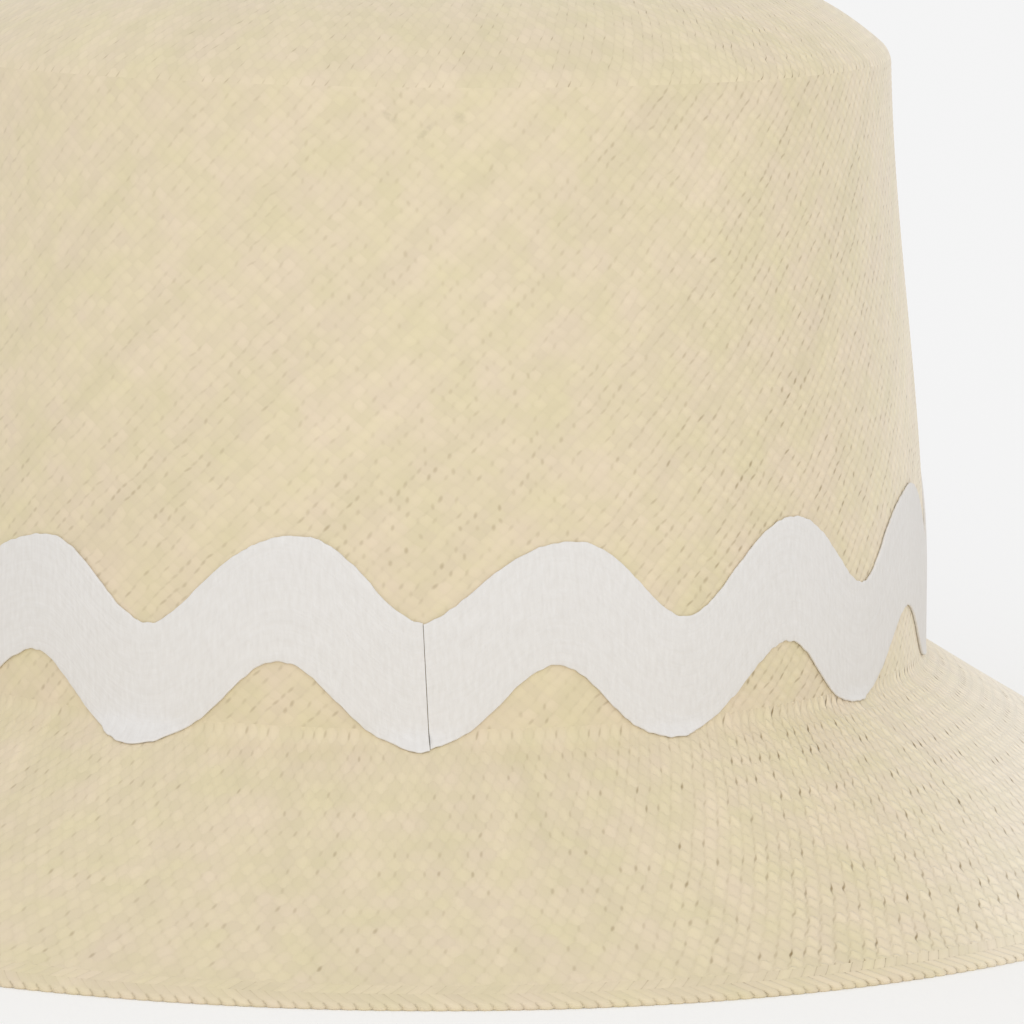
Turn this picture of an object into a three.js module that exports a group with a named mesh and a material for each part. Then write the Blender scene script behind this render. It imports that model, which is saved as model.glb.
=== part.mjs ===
// A wide-brim hat of woven straw with a wavy woven band round the foot of its crown.
// Millimetres, Z up. The rim lies on z = 0, the front of the hat faces -Y and its back faces +Y.
import * as THREE from 'three';

// Head oval: the outside of the crown at the band, across and front to back.
const CROWN_HALF_WIDTH = 84;
const CROWN_HALF_DEPTH = 101;

// The straw wall.
const WALL = 1.5;
const SEGMENTS_ROUND = 64;

// The crown's side leans in from the head oval by half a cosine wave between these two heights.
// The shoulder cuts the wave short, and the side is straight below its foot.
const LEAN_IN = 7;
const LEAN_START = 34;
const LEAN_END = 130.4;
const SIDE_FOOT = 42;
const SIDE_SAMPLES = 7;

// The shoulder is a round of this radius, and the tip is a low dome above it.
const SHOULDER_HALF_WIDTH = 77.2;
const SHOULDER_HEIGHT = 120;
const SHOULDER_RADIUS = 4;
const SHOULDER_TURN_DEG = 49.5;
const SHOULDER_STEPS = 4;
const TIP_HEIGHT = 136.5;
const TIP_STEPS = 6;

// The brim: a small fillet at the foot of the crown, then a slope that flattens a little to the rim.
const BRIM_REACH = 50;
const BRIM_DROP = 28.5;
const BRIM_FLARE = 0.7;
const FILLET_RADIUS = 3;
const FILLET_STEPS = 3;
const BRIM_STEPS = 5;
const RIM_FLAT = 2;
const RIM_EDGE_HEIGHT = 0.9;
const RIM_CHAMFER = 0.6;

// The band: a woven strip with a wavy outline, 14 waves round the crown, its ends butted at the back.
const BAND_HEIGHT = 42;
const BAND_WAVES = 14;
const BAND_SWING_START = 5.6;
const BAND_SWING_END = 6;
const BAND_RISE = 0.6;
const BAND_HALF_STRIP = 9.15;
const BAND_WAIST = 0.6;
const BAND_THICKNESS = 1.2;
const BAND_CLEARANCE = 0.3;
const BAND_TILT = 0.0138;
const JOINT_OFFSET = -4;
const JOINT_GAP = 0.3;
const JOINT_LEAN = 1.1;
const JOINT_LEAD = 1.9;
const JOINT_SPREAD = 0.9;
const JOINT_SPREAD_REACH = 7;
const STATIONS_PER_WAVE = 12;
const BAND_ROWS = 3;

const DEPTH_EXTRA = CROWN_HALF_DEPTH - CROWN_HALF_WIDTH;

// Half depth of the oval whose half width is r: the walls keep one distance all round,
// and inside the shoulder the oval shrinks evenly to the middle of the tip.
function halfDepth(r) {
  if (r >= SHOULDER_HALF_WIDTH) {
    return r + DEPTH_EXTRA;
  }
  return r * (1 + DEPTH_EXTRA / SHOULDER_HALF_WIDTH);
}

// Points of the low dome from the middle of the tip to the end of the shoulder round:
// a curve that is level in the middle and meets the round in its own direction.
function tipPoints(end, endSlope) {
  const rise = TIP_HEIGHT - end.y;
  const power = (endSlope * end.x) / rise;
  const points = [];
  for (let i = 0; i <= TIP_STEPS; i++) {
    const u = Math.sin((i / TIP_STEPS) * (Math.PI / 2));
    points.push(new THREE.Vector2(end.x * u, TIP_HEIGHT - rise * u ** power));
  }
  return points;
}

// Points of the shoulder round, from the tip side down to the top of the crown's side.
function shoulderPoints() {
  const centre = new THREE.Vector2(SHOULDER_HALF_WIDTH - SHOULDER_RADIUS, SHOULDER_HEIGHT);
  const turn = THREE.MathUtils.degToRad(SHOULDER_TURN_DEG);
  const points = [];
  for (let i = SHOULDER_STEPS; i > 0; i--) {
    const angle = (turn * i) / SHOULDER_STEPS;
    points.push(new THREE.Vector2(
      centre.x + SHOULDER_RADIUS * Math.cos(angle),
      centre.y + SHOULDER_RADIUS * Math.sin(angle),
    ));
  }
  return points;
}

// Points down the crown's side, from the shoulder to the foot of its lean.
function sidePoints() {
  const points = [];
  for (let i = 0; i <= SIDE_SAMPLES; i++) {
    const height = SHOULDER_HEIGHT + (SIDE_FOOT - SHOULDER_HEIGHT) * (i / SIDE_SAMPLES);
    const turn = (Math.PI * (height - LEAN_START)) / (LEAN_END - LEAN_START);
    const lean = (LEAN_IN * (1 - Math.cos(turn))) / 2;
    points.push(new THREE.Vector2(CROWN_HALF_WIDTH - lean, height));
  }
  return points;
}

// Height of the brim's outer face at a distance out from the head oval.
function brimHeight(reach) {
  const u = reach / BRIM_REACH;
  return BRIM_DROP * (1 - u) - BRIM_FLARE * 4 * u * (1 - u);
}

// Points of the fillet and the brim, down to the start of the rim's round edge.
function brimPoints() {
  const slope = (BRIM_DROP + 4 * BRIM_FLARE) / BRIM_REACH;
  const turn = Math.PI / 2 - Math.atan(slope);
  const tangentLength = FILLET_RADIUS * Math.tan(turn / 2);
  const top = brimHeight(0) + tangentLength;
  const points = [];
  for (let i = 0; i <= FILLET_STEPS; i++) {
    const angle = (turn * i) / FILLET_STEPS;
    points.push(new THREE.Vector2(
      CROWN_HALF_WIDTH + FILLET_RADIUS * (1 - Math.cos(angle)),
      top - FILLET_RADIUS * Math.sin(angle),
    ));
  }
  const first = points.at(-1).x - CROWN_HALF_WIDTH;
  for (let i = 1; i <= BRIM_STEPS; i++) {
    const reach = first + (BRIM_REACH - first) * (i / BRIM_STEPS);
    points.push(new THREE.Vector2(CROWN_HALF_WIDTH + reach, Math.max(brimHeight(reach), RIM_EDGE_HEIGHT)));
  }
  return points;
}

// The outer face of the straw, from the middle of the tip to the rim.
function outerProfile() {
  const shoulder = shoulderPoints();
  const endSlope = Math.tan(Math.PI / 2 - THREE.MathUtils.degToRad(SHOULDER_TURN_DEG));
  return [
    ...tipPoints(shoulder[0], endSlope).slice(0, -1),
    ...shoulder,
    ...sidePoints(),
    ...brimPoints(),
  ];
}

// A profile moved square to itself: a positive distance moves it outwards.
function offsetProfile(points, distance) {
  return points.map((point, i) => {
    const before = points[Math.max(i - 1, 0)];
    const after = points[Math.min(i + 1, points.length - 1)];
    const along = after.clone().sub(before).normalize();
    return new THREE.Vector2(point.x - along.y * distance, point.y + along.x * distance);
  });
}

// The crown and brim: one hollow wall, turned as a lathe shape and then drawn out to the head oval.
function strawGeometry() {
  const outer = outerProfile();
  const inner = offsetProfile(outer, -WALL);
  outer[0].x = 0;
  inner[0].set(0, TIP_HEIGHT - WALL);
  const rimCorner = new THREE.Vector2(CROWN_HALF_WIDTH + BRIM_REACH - RIM_CHAMFER, 0);
  const rimInner = new THREE.Vector2(rimCorner.x - RIM_FLAT, 0);
  const profile = [...inner.slice(0, -1), rimInner, rimCorner, ...outer.reverse()];
  const geometry = new THREE.LatheGeometry(profile, SEGMENTS_ROUND);
  geometry.rotateX(Math.PI / 2);
  const position = geometry.attributes.position;
  for (let i = 0; i < position.count; i++) {
    const x = position.getX(i);
    const y = position.getY(i);
    const radius = Math.hypot(x, y);
    if (radius > 1e-6) {
      position.setY(i, (y * halfDepth(radius)) / radius);
    }
  }
  return geometry;
}

// Angles and arc lengths round the crown at the band, starting at the middle of the back.
const ARC_STEPS = 1440;
const arcLengths = [0];
for (let i = 1; i <= ARC_STEPS; i++) {
  const middle = ((i - 0.5) / ARC_STEPS) * 2 * Math.PI;
  const step = (2 * Math.PI) / ARC_STEPS;
  const speed = Math.hypot(CROWN_HALF_WIDTH * Math.cos(middle), CROWN_HALF_DEPTH * Math.sin(middle));
  arcLengths.push(arcLengths[i - 1] + speed * step);
}
const ROUND_LENGTH = arcLengths[ARC_STEPS];
const WAVE_LENGTH = (ROUND_LENGTH + JOINT_LEAD) / BAND_WAVES;

function angleAt(arc) {
  const wrapped = ((arc % ROUND_LENGTH) + ROUND_LENGTH) % ROUND_LENGTH;
  const high = arcLengths.findIndex((length) => length > wrapped);
  const share = (wrapped - arcLengths[high - 1]) / (arcLengths[high] - arcLengths[high - 1]);
  return ((high - 1 + share) / ARC_STEPS) * 2 * Math.PI;
}

// Half width and outward direction of the crown's outer face at a height.
const outerFace = outerProfile();
function faceAt(height) {
  const low = outerFace.findIndex((point) => point.y <= height);
  const upper = outerFace[low - 1];
  const lower = outerFace[low];
  const share = (upper.y - height) / (upper.y - lower.y);
  const along = lower.clone().sub(upper).normalize();
  return { halfWidth: upper.x + (lower.x - upper.x) * share, out: -along.y, up: along.x };
}

// One point of the band: its distance along the band, its row from the lower edge (0) to the
// upper edge (1), and its distance off the straw. The strip's middle is a wave that swings a
// little wider and higher on its way round, and the strip spreads where its ends are cut.
function bandPoint(along, row, depth) {
  const share = along / ROUND_LENGTH;
  const phase = (2 * Math.PI * (along + JOINT_LEAD)) / WAVE_LENGTH;
  const toJoint = Math.min(along, ROUND_LENGTH - along);
  const spread = JOINT_SPREAD * Math.exp(-((toJoint / JOINT_SPREAD_REACH) ** 2));
  const half = BAND_HALF_STRIP - BAND_WAIST * Math.cos(2 * phase) + spread;
  const angle = angleAt(JOINT_OFFSET + along - JOINT_LEAN * (row - 0.5));
  const tilt = BAND_TILT * CROWN_HALF_WIDTH * Math.sin(angle);
  const swing = BAND_SWING_START + (BAND_SWING_END - BAND_SWING_START) * share;
  const middle = BAND_HEIGHT + tilt + BAND_RISE * share - swing * Math.cos(phase);
  const height = middle + half * (2 * row - 1);
  const face = faceAt(height);
  const halfWidth = face.halfWidth + face.out * depth;
  return new THREE.Vector3(
    -halfWidth * Math.sin(angle),
    (halfWidth + DEPTH_EXTRA) * Math.cos(angle),
    height + face.up * depth,
  );
}

// The band is a closed strip: each station is a ring of points round its section.
function bandGeometry() {
  const stations = BAND_WAVES * STATIONS_PER_WAVE;
  const far = BAND_CLEARANCE + BAND_THICKNESS;
  const ring = [];
  for (let row = 0; row <= BAND_ROWS; row++) {
    ring.push({ row: row / BAND_ROWS, depth: far });
  }
  for (let row = BAND_ROWS; row >= 0; row--) {
    ring.push({ row: row / BAND_ROWS, depth: BAND_CLEARANCE });
  }
  const vertices = [];
  for (let i = 0; i <= stations; i++) {
    const along = JOINT_GAP / 2 + (ROUND_LENGTH - JOINT_GAP) * (i / stations);
    for (const corner of ring) {
      vertices.push(...bandPoint(along, corner.row, corner.depth).toArray());
    }
  }
  const indices = [];
  const size = ring.length;
  const quad = (a, b, c, d) => indices.push(a, b, c, a, c, d);
  for (let i = 0; i < stations; i++) {
    for (let j = 0; j < size; j++) {
      const next = (j + 1) % size;
      quad(i * size + j, (i + 1) * size + j, (i + 1) * size + next, i * size + next);
    }
  }
  const end = stations * size;
  for (let row = 0; row < BAND_ROWS; row++) {
    const back = size - 1 - row;
    quad(row, row + 1, back - 1, back);
    quad(end + row, end + back, end + back - 1, end + row + 1);
  }
  const geometry = new THREE.BufferGeometry();
  geometry.setAttribute('position', new THREE.Float32BufferAttribute(vertices, 3));
  geometry.setIndex(indices);
  geometry.computeVertexNormals();
  return geometry;
}

const straw = new THREE.MeshStandardMaterial({ color: 0xe0d0ab, roughness: 0.72, metalness: 0 });
const rickrack = new THREE.MeshStandardMaterial({ color: 0xe9e6e0, roughness: 0.9, metalness: 0 });

const strawBody = new THREE.Mesh(strawGeometry(), straw);
strawBody.name = 'straw_body';

const band = new THREE.Mesh(bandGeometry(), rickrack);
band.name = 'rickrack_band';

const hat = new THREE.Group();
hat.name = 'wide_brim_hat';
hat.add(strawBody, band);

export default hat;
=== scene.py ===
import bpy
import numpy as np
from mathutils import Matrix, Vector


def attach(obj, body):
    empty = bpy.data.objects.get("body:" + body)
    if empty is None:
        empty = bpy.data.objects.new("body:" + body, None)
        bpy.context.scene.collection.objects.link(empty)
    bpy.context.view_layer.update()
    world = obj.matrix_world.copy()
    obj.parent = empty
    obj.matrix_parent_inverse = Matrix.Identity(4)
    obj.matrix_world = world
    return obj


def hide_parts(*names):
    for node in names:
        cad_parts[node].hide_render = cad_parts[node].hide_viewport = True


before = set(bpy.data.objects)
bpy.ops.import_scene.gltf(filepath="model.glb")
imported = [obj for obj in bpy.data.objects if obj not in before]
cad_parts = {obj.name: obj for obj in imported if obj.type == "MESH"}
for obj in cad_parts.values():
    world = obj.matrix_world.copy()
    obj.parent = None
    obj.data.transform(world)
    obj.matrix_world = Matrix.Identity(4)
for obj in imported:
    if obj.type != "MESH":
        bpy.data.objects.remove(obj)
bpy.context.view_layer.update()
MM = 0.001

# Camera: behind the hat and a little above it, one metre off, looking slightly down on the crown.
# The long lens keeps the hat's sides nearly parallel and crops it at the left and at the top.
CAMERA_DISTANCE_MM = 1000
CAMERA_YAW_DEG = 5.49
CAMERA_HEIGHT_MM = 183
CAMERA_PITCH_DEG = 7.703
CAMERA_ROLL_DEG = 0.559
CAMERA_LENS_MM = 225.06
SENSOR_MM = 36
PHOTO_FOCAL_PX = 6401.75
AIM_OFF_PX = 123.98
AIM_TO_THE_RIGHT = AIM_OFF_PX / PHOTO_FOCAL_PX

yaw, pitch, roll = np.radians([CAMERA_YAW_DEG, CAMERA_PITCH_DEG, CAMERA_ROLL_DEG])
level_right = np.array([-np.cos(yaw), np.sin(yaw), 0])
straight = np.array([-np.sin(yaw) * np.cos(pitch), -np.cos(yaw) * np.cos(pitch), -np.sin(pitch)])
right = np.cos(roll) * level_right + np.sin(roll) * np.cross(level_right, straight)
ahead = straight + AIM_TO_THE_RIGHT * right
ahead /= np.linalg.norm(ahead)
up = np.cross(right, ahead)
up /= np.linalg.norm(up)
right = np.cross(ahead, up)
place = MM * np.array([
    CAMERA_DISTANCE_MM * np.sin(yaw), CAMERA_DISTANCE_MM * np.cos(yaw), CAMERA_HEIGHT_MM])
camera_data = bpy.data.cameras.new("camera")
camera_data.lens = CAMERA_LENS_MM
camera_data.sensor_width = SENSOR_MM
camera = bpy.data.objects.new("camera", camera_data)
camera.matrix_world = Matrix(np.vstack([
    np.column_stack([right, up, -ahead, place]), [0, 0, 0, 1]]).tolist())
bpy.context.scene.collection.objects.link(camera)
bpy.context.scene.camera = camera


# Tip of the crown: flat toquilla straw, plain-woven outwards from its middle. The strands stand
# almost radially here, and new ones are laid in at a few rings, where the number of cells doubles.
# The blocked shape is a low dome that rolls over a round shoulder to the crown's side.
CROWN_HALF_WIDTH = 84
DEPTH_EXTRA = 17
WALL = 1.5
SHOULDER_HALF_WIDTH = 77.2
SHOULDER_HEIGHT = 120
SHOULDER_RADIUS = 4
SHOULDER_TURN_DEG = 49.5
TIP_HEIGHT = 136.5
RING_TURN_DEG = 16
TIP_CELLS = 288
TIP_CELL = 1.85
TIP_ROW = 1.6
TIP_RELIEF = 0.06
TIP_ROUND = 0.6
TIP_GAP = 0.14
TIP_GAP_LONG = 0.85
TIP_GAP_LEAN = 0.4
TIP_START = 3.2
TIP_SAMPLES = 2
TIP_LAST_STEP = 0.3
COLUMNS_PER_CELL = 2
STRANDS_ADDED_AT = (5.5, 11, 22, 44)
FADE = 1.2
INNER_ROWS = 12
LEAST_RELIEF = 0.45
RELIEF_FROM = 0.1
RELIEF_SPAN = 0.6
CELL_BULGE = 0.28
TIE = 1e-6
GAP_LEAN_FROM = 15
GAP_LEAN_TO = 53
GAP_LEAN_MORE = 0.5
WEAK_ROW = -0.65
SEAM_FROM = 0.5
CELL_EDGE = 1.05
SLIT_SOFT = (1.3, 0.2)
WOBBLE = 0.5
WOBBLE_SCALE = 0.45
DRIFT_DOWN = 0.12
ROUND_PAST = 1.2
ROUND_STEPS = 3457
DOME_STEPS = 240
ARC_STEPS = 60
POLE_FANS_AT = (0.1, 0.6)
POLE_FAN_TALL = 0.3
STRAW = "#ddcfb0"
STRAW_DEEP = "#d8cea5"
STRAW_LIGHT = "#e2cfbb"
# The next colour is painted light: the paler straw that the wearer's right is mixed towards.
STRAW_PAINTED_LIGHT = "#f4ebdb"
# The next colour is painted shade for the gaps and slits between strands.
GAP_SHADE = "#97825c"

# How the straw's look varies: with each cell, with soft patches and streaks, and with the place on
# the hat. X below zero is the wearer's right, which gets painted light that makes it paler, crisper
# cells, and stronger painted shade in its gaps.
PAINTED_LIGHT_X = (-52, -108)
PAINTED_LIGHT_MOST = 0.85
CRISP_X = (-8, -60)
CRISP_LEAST = 0.35
FOOT_Z = (85, 55)
PATCH_SCALE = 150.0
CLOUD_SCALE = 24.0
STREAK_SCALE = 0.45
FIBRE_GRAIN = (7.0, 0.7, 1.0)
LIGHT_SEED = (31.5, 7.5, 3.5)
TINT_BY_CELL = 0.3
TINT_BY_PATCH = (2.0, -0.65)
TINT_SHARE = 0.4
SHADE_BY_CELL = (0.05, 0.87)
SHADE_BY_STREAK = 0.15
SHADE_BY_CLOUD = 0.04
SHADE_BY_FIBRE = 0.03
HEIGHT_BY_CELL = (0.75, 0.45)
GAP_POWER = 2.5
GAP_BY_KNOT = (1.6, 0.12)
GAP_BY_STREAK = (-2.4, 2.2)
FIBRE_RELIEF = 0.1
GAP_RELIEF = -0.6


def colour(text):
    """The linear colour of an sRGB hex value: each channel c becomes ((c + 0.055) / 1.055) ^ 2.4,
    or c / 12.92 where it is dark."""
    channels = np.array([int(text[i:i + 2], 16) for i in (1, 3, 5)]) / 255
    linear = np.where(channels > 0.04045, ((channels + 0.055) / 1.055) ** 2.4, channels / 12.92)
    return (*linear.tolist(), 1.0)


def add(tree, kind, settings, *inputs, out=None, **named):
    """Adds a node, gives it its settings (a plain word is its operation), links or sets its inputs
    in order and by name, and returns its first output, the one named out, or all of them."""
    node = tree.nodes.new("ShaderNode" + kind)
    if isinstance(settings, str):
        settings = {"operation": settings}
    for name, value in settings.items():
        setattr(node, name, value)
    sockets = [socket for socket in node.inputs if socket.enabled]
    wanted = list(zip(sockets, inputs))
    wanted += [(socket, named[socket.name.replace(" ", "_")]) for socket in sockets
               if socket.name.replace(" ", "_") in named]
    for socket, value in wanted:
        if isinstance(value, bpy.types.NodeSocket):
            tree.links.new(value, socket)
        elif value is not None:
            socket.default_value = value
    outputs = [socket for socket in node.outputs if socket.enabled]
    if out == "all":
        return outputs
    return next((socket for socket in outputs if out in (None, socket.name)), None)


def ramp(tree, value, start, end, first=0.0, last=1.0):
    """A smooth step from first to last, 3 s^2 - 2 s^3, while a value runs from start to end."""
    return add(tree, "MapRange", {"interpolation_type": "SMOOTHSTEP"}, value, start, end, first, last)


def blend(tree, share, first, second):
    """A mix of two colours, first * (1 - share) + second * share."""
    return add(tree, "Mix", {"data_type": "RGBA"}, share, first, second)


def oval(half_width, height, angle):
    """Points of the hat's ovals: a half width r at an angle t from the middle of the back stands at
    (-r sin t, d cos t, height). The half depth d is r + DEPTH_EXTRA, and inside the shoulder it
    grows evenly from the middle."""
    inside = half_width * (1 + DEPTH_EXTRA / SHOULDER_HALF_WIDTH)
    half_depth = np.where(half_width >= SHOULDER_HALF_WIDTH, half_width + DEPTH_EXTRA, inside)
    return np.stack(np.broadcast_arrays(
        -half_width * np.sin(angle), half_depth * np.cos(angle), height), -1)


def round_lengths():
    """Distances round the head oval at small steps of angle from the middle of the back: the sum of
    the oval's speed, the length of (r cos t, d sin t), over the steps."""
    steps = np.linspace(-ROUND_PAST * np.pi, ROUND_PAST * np.pi, ROUND_STEPS)
    speed = np.hypot(CROWN_HALF_WIDTH * np.cos(steps),
                     (CROWN_HALF_WIDTH + DEPTH_EXTRA) * np.sin(steps))
    length = np.concatenate([[0], np.cumsum((speed[1:] + speed[:-1]) / 2 * np.diff(steps))])
    return steps, length - np.interp(0, steps, length)


ROUND_ANGLES, ROUND_LENGTHS = round_lengths()
HEAD_ROUND = 2 * np.interp(np.pi, ROUND_ANGLES, ROUND_LENGTHS)


def columns_round(count, shift):
    """The angles of evenly spaced columns round the head oval, from the middle of the front, for
    each ring's shift in mm: the distances are read backwards in the table of lengths."""
    arc = HEAD_ROUND * (np.arange(count) / count - 0.5)
    return np.interp(arc[None, :] + shift[:, None], ROUND_LENGTHS, ROUND_ANGLES)


def length_of(line):
    """Distances along a profile line: the running sum of its steps."""
    return np.concatenate([[0], np.cumsum(np.hypot(*np.diff(line, axis=0).T))])


def along(line, distances):
    """Points at distances along a profile line, and the outward direction there, which is the
    line's direction (dr, dz) turned to (-dz, dr)."""
    run = length_of(line)
    heading = np.gradient(line, run, axis=0)
    heading = np.stack([np.interp(distances, run, heading[:, k]) for k in (0, 1)], 1)
    heading /= np.linalg.norm(heading, axis=1)[:, None]
    places = np.stack([np.interp(distances, run, line[:, k]) for k in (0, 1)], 1)
    return places, np.stack([-heading[:, 1], heading[:, 0]], 1)


def fade(distances, length):
    """Relief grows from nothing at both ends of a piece to its full height over FADE mm."""
    return np.clip(np.minimum(distances, length - distances) / FADE, 0, 1)[:, None]


def standing(angle):
    """The share of its relief that the weave shows at an angle t round the hat: LEAST_RELIEF, and
    from there up to 1 on the wearer's right by the smooth step 3 s^2 - 2 s^3 of
    s = (sin t - RELIEF_FROM) / RELIEF_SPAN."""
    s = np.clip((np.sin(angle) - RELIEF_FROM) / RELIEF_SPAN, 0, 1)
    return LEAST_RELIEF + (1 - LEAST_RELIEF) * s ** 2 * (3 - 2 * s)


def wall(line, distances, relief, lean, inner_rows):
    """The rings of a straw wall and their distances along its line: down the outer face, raised by
    the relief square to the line, and back up the inner face, one wall thickness in. The columns
    move round by the lean for each mm along the line."""
    relief = relief * standing(columns_round(relief.shape[1], lean * distances))
    places, out = along(line, distances)
    faces = places[:, None, :] + relief[:, :, None] * out[:, None, :]
    back = np.linspace(distances[-1], distances[0], inner_rows)
    inner, inner_out = along(line, back)
    inner = (inner - WALL * inner_out)[:, None, :] * np.ones((1, relief.shape[1], 1))
    rings = np.concatenate([faces, inner])
    run = np.append(distances, back)
    return oval(rings[..., 0], rings[..., 1], columns_round(relief.shape[1], lean * run)), run


def mesh_of(name, points, faces, weave, flat, hard):
    """A mesh from points in mm and arrays of faces, with a corner map that counts cells (weave) and
    one that lays the piece out flat. Edges whose two ends are both in one hard set stay crisp."""
    mesh = bpy.data.meshes.new(name)
    corners = np.concatenate([part.ravel() for part in faces])
    sizes = np.concatenate([np.full(len(part), part.shape[1]) for part in faces])
    mesh.vertices.add(len(points))
    mesh.vertices.foreach_set("co", (points * MM).astype(np.float32).ravel())
    mesh.loops.add(len(corners))
    mesh.loops.foreach_set("vertex_index", corners.astype(np.int32))
    mesh.polygons.add(len(sizes))
    mesh.polygons.foreach_set("loop_start", (np.cumsum(sizes) - sizes).astype(np.int32))
    mesh.update(calc_edges=True)
    mesh.shade_smooth()
    for title, maps in (("weave", weave), ("OFBake", flat)):
        values = np.concatenate([part.reshape(-1, 2) for part in maps]).astype(np.float32)
        mesh.uv_layers.new(name=title).uv.foreach_set("vector", values.ravel())
    ends = np.zeros(2 * len(mesh.edges), np.int32)
    mesh.edges.foreach_get("vertices", ends)
    label = np.zeros(len(points), np.int32)
    for number, members in enumerate(hard, 1):
        label[members] = number
    ends = label[ends.reshape(-1, 2)]
    crisp = (ends[:, 0] == ends[:, 1]) & (ends[:, 0] > 0)
    mesh.attributes.new("sharp_edge", "BOOLEAN", "EDGE").data.foreach_set("value", crisp)
    piece = bpy.data.objects.new(name, mesh)
    bpy.context.scene.collection.objects.link(piece)
    return piece


def shell(name, rings, cells, rows, outer_rows, poles=False):
    """A closed body from rings that run down its outer face and back up its inner face. Each ring
    joins the next and the last joins the first; at poles the first and last shrink to a point. In
    the weave map u is the column times the cells per column, and v is the row number."""
    count, columns = rings.shape[:2]
    used = count - 1 if poles else count
    i, j = np.meshgrid(np.arange(used), np.arange(columns), indexing="ij")
    after, beside = (i + 1) % count, (j + 1) % columns
    quads = np.stack([i * columns + j, after * columns + j, after * columns + beside,
                      i * columns + beside], -1).reshape(-1, 4)
    u = np.stack([j, j, j + 1, j + 1], -1) * cells[i][..., None]
    v = np.stack([rows[i], rows[after], rows[after], rows[i]], -1)
    strips = used + 1
    flat_u = np.stack([j, j, j + 1, j + 1], -1) / columns
    flat_v = 1 - np.stack([i, i + 1, i + 1, i], -1) / strips
    points = rings.reshape(-1, 3)
    faces, maps, flats = [quads], [np.stack([u, v], -1)], [np.stack([flat_u, flat_v], -1)]
    borders = [outer_rows - 1, outer_rows] if outer_rows else []
    if poles:
        k = np.arange(columns)
        next_k, last = (k + 1) % columns, (count - 1) * columns
        faces.append(np.column_stack([np.full(columns, len(points)), k, next_k]))
        faces.append(np.column_stack([np.full(columns, len(points) + 1), last + next_k, last + k]))
        points = np.concatenate([points, rings[[0, -1]].mean(1)])
        fan_u = np.stack([k + 0.5, k, k + 1], -1) / columns
        for low in POLE_FANS_AT:
            fan_v = (low + np.array([POLE_FAN_TALL, 0, 0])) / strips * np.ones((columns, 1))
            maps.append(np.zeros((columns, 3, 2)))
            flats.append(np.stack([fan_u, fan_v], -1))
    else:
        borders += [0, count - 1]
    ring = np.arange(columns)
    return mesh_of(name, points, faces, maps, flats, [b * columns + ring for b in borders])


def tip_line():
    """The outer profile of tip and shoulder. The dome is TIP_HEIGHT - rise u^p, with u from the
    middle to the shoulder's round, and p gives it the round's slope there. The round is an arc."""
    turn = np.radians(SHOULDER_TURN_DEG)
    centre = np.array([SHOULDER_HALF_WIDTH - SHOULDER_RADIUS, SHOULDER_HEIGHT])
    end = centre + SHOULDER_RADIUS * np.array([np.cos(turn), np.sin(turn)])
    rise = TIP_HEIGHT - end[1]
    power = end[0] / np.tan(turn) / rise
    u = np.linspace(0, 1, DOME_STEPS)
    dome = np.stack([end[0] * u, TIP_HEIGHT - rise * u ** power], 1)
    angle = np.linspace(turn, np.radians(RING_TURN_DEG), ARC_STEPS)[1:]
    arc = centre + SHOULDER_RADIUS * np.stack([np.cos(angle), np.sin(angle)], 1)
    return np.concatenate([dome, arc])


def brick_relief(u, v, depth):
    """Height of a weave whose cells lie like bricks with rounded ends. The line between two rows is
    bent by CELL_BULGE cos(2 pi (u + k / 2)) at row k, every other row is half a cell on, and a cell
    is a pillow (1 - |2x - 1|^3)(1 - |2y - 1|^4 / 2) of its own place x, y above a depth. A tiny TIE
    keeps points that lie on a line between two rows in one of them."""
    near = np.floor(v + 0.5)
    bend = np.cos(2 * np.pi * (u + 0.5 * near)) * (1 - 2 * np.abs(v - near))
    bent = v - CELL_BULGE * bend + TIE
    x = np.mod(u + 0.5 * np.floor(bent), 1)
    y = np.mod(bent, 1)
    pillow = (1 - np.abs(2 * x - 1) ** 3) * (1 - 0.5 * np.abs(2 * y - 1) ** 4)
    return -depth * (1 - pillow)


def wobbled(tree):
    """The weave map with its cells pushed about, as by hand: soft noise moves each point by up to
    half of WOBBLE cells either way."""
    weave = add(tree, "UVMap", {"uv_map": "weave"})
    push = add(tree, "TexNoise", {}, weave, out="Color", Scale=WOBBLE_SCALE, Detail=1.0)
    return add(tree, "VectorMath", "MULTIPLY_ADD", push, (WOBBLE, WOBBLE, 0),
               add(tree, "VectorMath", "ADD", weave, (-WOBBLE / 2, -WOBBLE / 2, 0)))


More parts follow.
